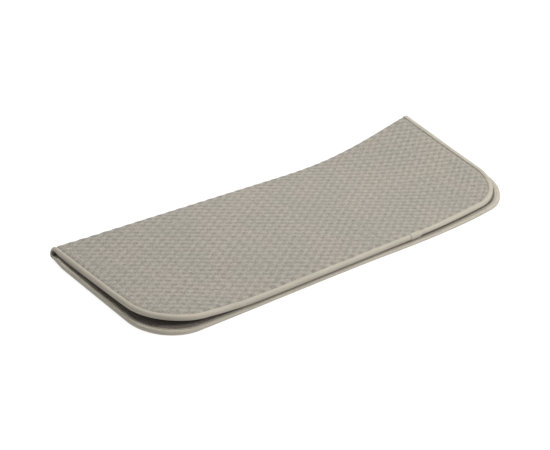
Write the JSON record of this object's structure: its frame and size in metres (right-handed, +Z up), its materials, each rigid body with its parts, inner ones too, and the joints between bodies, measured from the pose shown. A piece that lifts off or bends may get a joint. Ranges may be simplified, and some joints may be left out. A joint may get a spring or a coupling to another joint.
{
  "type": "folded padded pad",
  "caption": "Soft padded pad with a bound edge, folded in half along its length and lying flat, with one end curled up at the fold.",
  "frame": {"origin": "centre of the folded pad's box, on the surface that it lies on", "axes": "+X along the fold towards the curled end, +Y from the open front edge to the fold, +Z up"},
  "size_m": [0.5088, 0.1803, 0.0449],
  "materials": {
    "outer_fabric": "warm grey knit with a small raised diamond pattern",
    "padding": "off-white batting",
    "lining": "brushed brown-grey fabric",
    "edge_tape": "cream woven binding tape",
    "seam_thread": "matt sewing thread",
    "tack_thread": "dark sewing thread"
  },
  "bodies": {
    "lower_half": {"lower_outer_fabric": "outer_fabric", "lower_padding": "padding", "lower_lining": "lining", "lower_edge_tape": "edge_tape", "lower_tape_seam": "seam_thread"},
    "lower_curled_end": {"lower_outer_fabric_curled": "outer_fabric", "lower_padding_curled": "padding", "lower_lining_curled": "lining", "lower_edge_tape_curled": "edge_tape", "lower_tape_seam_curled": "seam_thread"},
    "fold_strip": {"fold_outer_fabric": "outer_fabric", "fold_padding": "padding", "fold_lining": "lining", "fold_edge_tape": "edge_tape", "fold_tape_seam": "seam_thread"},
    "fold_curled_end": {"fold_outer_fabric_curled": "outer_fabric", "fold_padding_curled": "padding", "fold_lining_curled": "lining", "fold_edge_tape_curled": "edge_tape", "fold_tape_seam_curled": "seam_thread"},
    "upper_half": {"upper_outer_fabric": "outer_fabric", "upper_padding": "padding", "upper_lining": "lining", "upper_edge_tape": "edge_tape", "upper_tape_seam": "seam_thread", "upper_tape_lap": "edge_tape"},
    "upper_curled_end": {"upper_outer_fabric_curled": "outer_fabric", "upper_padding_curled": "padding", "upper_lining_curled": "lining", "upper_edge_tape_curled": "edge_tape", "upper_tape_seam_curled": "seam_thread", "upper_tack_stitches_curled": "tack_thread"}
  },
  "joints": [
    {"name": "fold_hinge_lower", "type": "hinge", "parent": "lower_half", "child": "fold_strip", "pos_m": [0, 0.08507, 0.00508], "axis": [-1, 0, 0], "range_deg": [0, 90], "deforming": ["fold_outer_fabric", "fold_padding", "fold_lining", "fold_edge_tape", "fold_tape_seam", "fold_outer_fabric_curled", "fold_padding_curled", "fold_lining_curled", "fold_edge_tape_curled", "fold_tape_seam_curled"]},
    {"name": "fold_hinge_upper", "type": "hinge", "parent": "fold_strip", "child": "upper_half", "pos_m": [0, 0.08507, 0.00622], "axis": [-1, 0, 0], "range_deg": [0, 90], "deforming": ["fold_outer_fabric", "fold_padding", "fold_lining", "fold_edge_tape", "fold_tape_seam", "fold_outer_fabric_curled", "fold_padding_curled", "fold_lining_curled", "fold_edge_tape_curled", "fold_tape_seam_curled"]},
    {"name": "curl_lower", "type": "hinge", "parent": "lower_half", "child": "lower_curled_end", "pos_m": [0.1008, 0.0085, 0], "axis": [-0.4833, 0.8755, 0], "range_deg": [0, 12.3]},
    {"name": "curl_fold", "type": "hinge", "parent": "fold_strip", "child": "fold_curled_end", "pos_m": [0.1008, 0.0085, 0], "axis": [-0.4833, 0.8755, 0], "range_deg": [0, 12.3], "deforming": ["fold_outer_fabric_curled", "fold_padding_curled", "fold_lining_curled", "fold_edge_tape_curled", "fold_tape_seam_curled"]},
    {"name": "curl_upper", "type": "hinge", "parent": "upper_half", "child": "upper_curled_end", "pos_m": [0.1008, 0.0085, 0], "axis": [-0.4833, 0.8755, 0], "range_deg": [0, 12.3]}
  ],
  "couplings": [
    {"joint": "fold_hinge_upper", "follows": "fold_hinge_lower", "ratio": 1},
    {"joint": "curl_lower", "follows": "fold_hinge_lower", "ratio": 0.13666},
    {"joint": "curl_fold", "follows": "fold_hinge_lower", "ratio": 0.13666},
    {"joint": "curl_upper", "follows": "fold_hinge_lower", "ratio": 0.13666}
  ]
}
